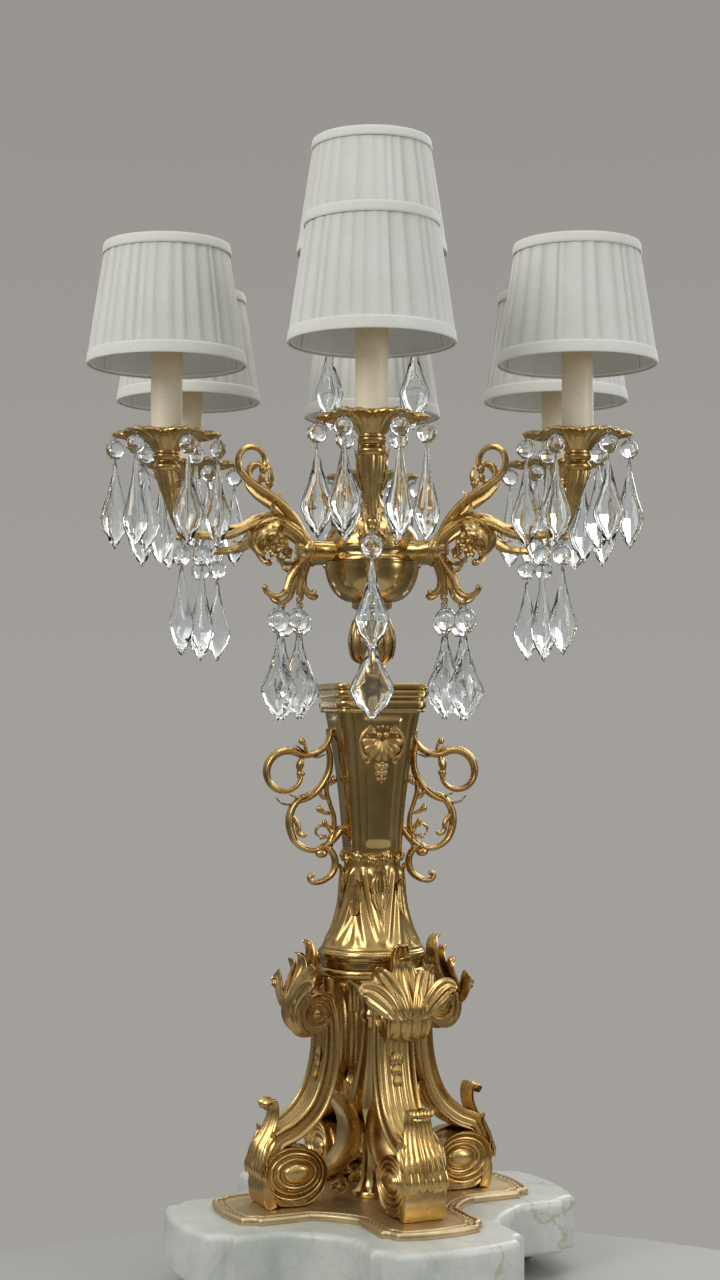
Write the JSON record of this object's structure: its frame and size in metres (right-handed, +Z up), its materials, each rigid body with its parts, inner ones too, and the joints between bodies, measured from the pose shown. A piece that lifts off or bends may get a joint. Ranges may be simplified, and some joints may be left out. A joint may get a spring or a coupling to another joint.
{
  "type": "candelabra table lamp",
  "caption": "Gilt scroll candelabra table lamp on a lobed marble foot, with swept arms, leafed drip pans, hanging crystal drops and pleated clip-on shades.",
  "frame": {"origin": "on the lamp's axis, at the plane its feet stand on", "axes": "+Z up along the axis; -Y towards the viewer, through arm 1; +X to the viewer's right"},
  "size_m": [0.4338, 0.482, 0.907],
  "materials": {
    "gilt": "polished cast metal with aged gold lacquer",
    "marble": "honed opaque white marble with pale green veins",
    "rod_steel": "plain turned steel",
    "sleeve": "ivory candle sleeve, satin, yellowed near the top",
    "holder": "plain moulded lamp holder",
    "shade_cloth": "gathered off-white cloth over a pale lining",
    "bulb_glass": "pearl glass",
    "crystal": "clear cut crystal"
  },
  "bodies": {
    "lamp": {"bun_feet": "gilt", "marble_slab": "marble", "gilt_plate": "gilt", "centre_baluster": "gilt", "tie_rod": "rod_steel", "rod_nuts": "rod_steel", "leg_1": "gilt", "leg_2": "gilt", "leg_3": "gilt", "leg_4": "gilt", "neck_ring": "gilt", "vase_foot": "gilt", "vase_body": "gilt", "vase_cap": "gilt", "handle_left": "gilt", "handle_right": "gilt", "shell_mounts": "gilt", "stem_urn": "gilt", "hub_bowl": "gilt", "hub_cover": "gilt", "middle_stem": "gilt", "arm_1": "gilt", "arm_2": "gilt", "arm_3": "gilt", "arm_4": "gilt", "arm_5": "gilt", "arm_6": "gilt", "drip_pan_1": "gilt", "drip_pan_2": "gilt", "drip_pan_3": "gilt", "drip_pan_4": "gilt", "drip_pan_5": "gilt", "drip_pan_6": "gilt", "drip_pan_7": "gilt", "candle_sleeve_1": "sleeve", "candle_sleeve_2": "sleeve", "candle_sleeve_3": "sleeve", "candle_sleeve_4": "sleeve", "candle_sleeve_5": "sleeve", "candle_sleeve_6": "sleeve", "candle_sleeve_7": "sleeve", "bulbs": "bulb_glass", "lamp_holders": "holder", "pan_drops": "crystal", "elbow_drops": "crystal"},
    "shade_1": {"shade_1": "shade_cloth"},
    "shade_2": {"shade_2": "shade_cloth"},
    "shade_3": {"shade_3": "shade_cloth"},
    "shade_4": {"shade_4": "shade_cloth"},
    "shade_5": {"shade_5": "shade_cloth"},
    "shade_6": {"shade_6": "shade_cloth"},
    "shade_7": {"shade_7": "shade_cloth"},
    "swing_drops_1": {"swing_drops_1": "crystal"},
    "swing_drops_2": {"swing_drops_2": "crystal"},
    "swing_drops_3": {"swing_drops_3": "crystal"},
    "swing_drops_4": {"swing_drops_4": "crystal"},
    "swing_drops_5": {"swing_drops_5": "crystal"},
    "swing_drops_6": {"swing_drops_6": "crystal"}
  },
  "joints": [
    {"name": "shade_swivel_1", "type": "hinge", "parent": "lamp", "child": "shade_1", "pos_m": [0, -0.18, 0.742], "axis": [0, 0, 1], "continuous": true},
    {"name": "shade_swivel_2", "type": "hinge", "parent": "lamp", "child": "shade_2", "pos_m": [0.15588, -0.09, 0.742], "axis": [0, 0, 1], "continuous": true},
    {"name": "shade_swivel_3", "type": "hinge", "parent": "lamp", "child": "shade_3", "pos_m": [0.15588, 0.09, 0.742], "axis": [0, 0, 1], "continuous": true},
    {"name": "shade_swivel_4", "type": "hinge", "parent": "lamp", "child": "shade_4", "pos_m": [0, 0.18, 0.742], "axis": [0, 0, 1], "continuous": true},
    {"name": "shade_swivel_5", "type": "hinge", "parent": "lamp", "child": "shade_5", "pos_m": [-0.15588, 0.09, 0.742], "axis": [0, 0, 1], "continuous": true},
    {"name": "shade_swivel_6", "type": "hinge", "parent": "lamp", "child": "shade_6", "pos_m": [-0.15588, -0.09, 0.742], "axis": [0, 0, 1], "continuous": true},
    {"name": "shade_swivel_7", "type": "hinge", "parent": "lamp", "child": "shade_7", "pos_m": [0, 0, 0.848], "axis": [0, 0, 1], "continuous": true},
    {"name": "drop_swing_1", "type": "hinge", "parent": "lamp", "child": "swing_drops_1", "pos_m": [0, -0.0755, 0.534], "axis": [0, -1, 0], "range_deg": [-25, 25]},
    {"name": "drop_swing_2", "type": "hinge", "parent": "lamp", "child": "swing_drops_2", "pos_m": [0.06538, -0.03775, 0.534], "axis": [0.866, -0.5, 0], "range_deg": [-25, 25]},
    {"name": "drop_swing_3", "type": "hinge", "parent": "lamp", "child": "swing_drops_3", "pos_m": [0.06538, 0.03775, 0.534], "axis": [0.866, 0.5, 0], "range_deg": [-25, 25]},
    {"name": "drop_swing_4", "type": "hinge", "parent": "lamp", "child": "swing_drops_4", "pos_m": [0, 0.0755, 0.534], "axis": [0, 1, 0], "range_deg": [-25, 25]},
    {"name": "drop_swing_5", "type": "hinge", "parent": "lamp", "child": "swing_drops_5", "pos_m": [-0.06538, 0.03775, 0.534], "axis": [-0.866, 0.5, 0], "range_deg": [-25, 25]},
    {"name": "drop_swing_6", "type": "hinge", "parent": "lamp", "child": "swing_drops_6", "pos_m": [-0.06538, -0.03775, 0.534], "axis": [-0.866, -0.5, 0], "range_deg": [-25, 25]}
  ]
}
